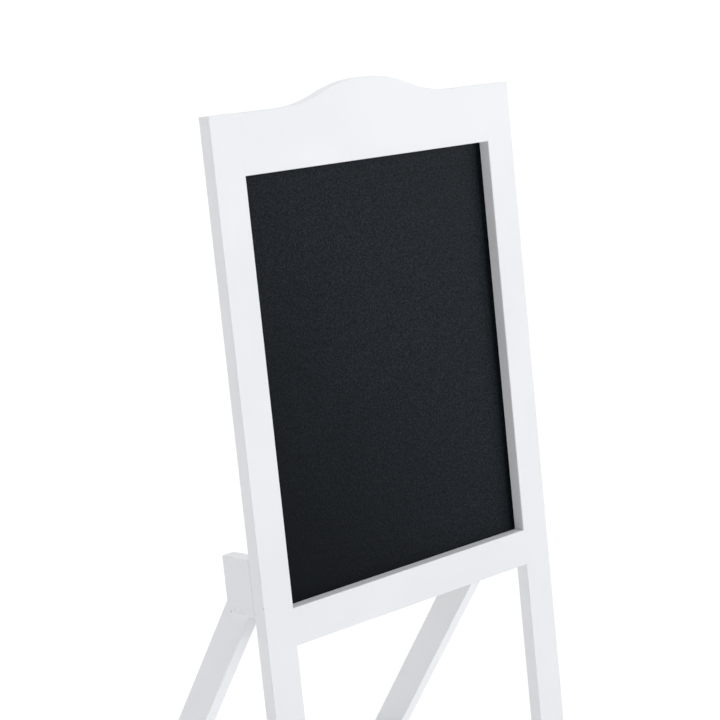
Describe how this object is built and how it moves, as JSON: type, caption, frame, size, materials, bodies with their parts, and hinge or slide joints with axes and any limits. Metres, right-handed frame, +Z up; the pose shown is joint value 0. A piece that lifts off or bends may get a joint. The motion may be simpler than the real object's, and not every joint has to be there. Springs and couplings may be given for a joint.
{
  "type": "kids easel",
  "caption": "Free-standing child's easel: a framed chalkboard with a crowned top rail on a leaning frame, and a rear stand that folds flat behind it.",
  "frame": {"origin": "on the floor, at the middle of the box that the standing easel fills", "axes": "+X across the easel to the viewer's right, +Y from front to back, +Z up"},
  "size_m": [0.47, 0.44, 1.1001],
  "materials": {
    "lacquer": "white satin lacquer on wood",
    "chalkboard": "matt black chalkboard paint on hardboard",
    "dowel_wood": "bare beech",
    "zinc_steel": "zinc-plated",
    "brass": "plain",
    "nylon": "moulded"
  },
  "bodies": {
    "front_frame": {"left_stile": "lacquer", "right_stile": "lacquer", "top_rail": "lacquer", "bottom_rail": "lacquer", "rail_dowels": "dowel_wood", "chalkboard": "chalkboard", "board_screws": "zinc_steel", "left_hinge_cheek": "lacquer", "right_hinge_cheek": "lacquer", "cheek_dowels": "dowel_wood", "left_pivot_insert": "brass", "right_pivot_insert": "brass", "left_pivot_bolt": "zinc_steel", "right_pivot_bolt": "zinc_steel", "left_spacer_washer": "nylon", "right_spacer_washer": "nylon", "left_head_washer": "zinc_steel", "right_head_washer": "zinc_steel", "front_left_glide": "nylon", "front_right_glide": "nylon"},
    "rear_stand": {"left_rear_leg": "lacquer", "right_rear_leg": "lacquer", "rear_stretcher": "lacquer", "stretcher_dowels": "dowel_wood", "rear_left_glide": "nylon", "rear_right_glide": "nylon"}
  },
  "joints": [
    {"name": "rear_stand_fold", "type": "hinge", "parent": "front_frame", "child": "rear_stand", "pos_m": [0, -0.08019, 0.54801], "axis": [-1, 0, 0], "range_deg": [0, 37]}
  ]
}
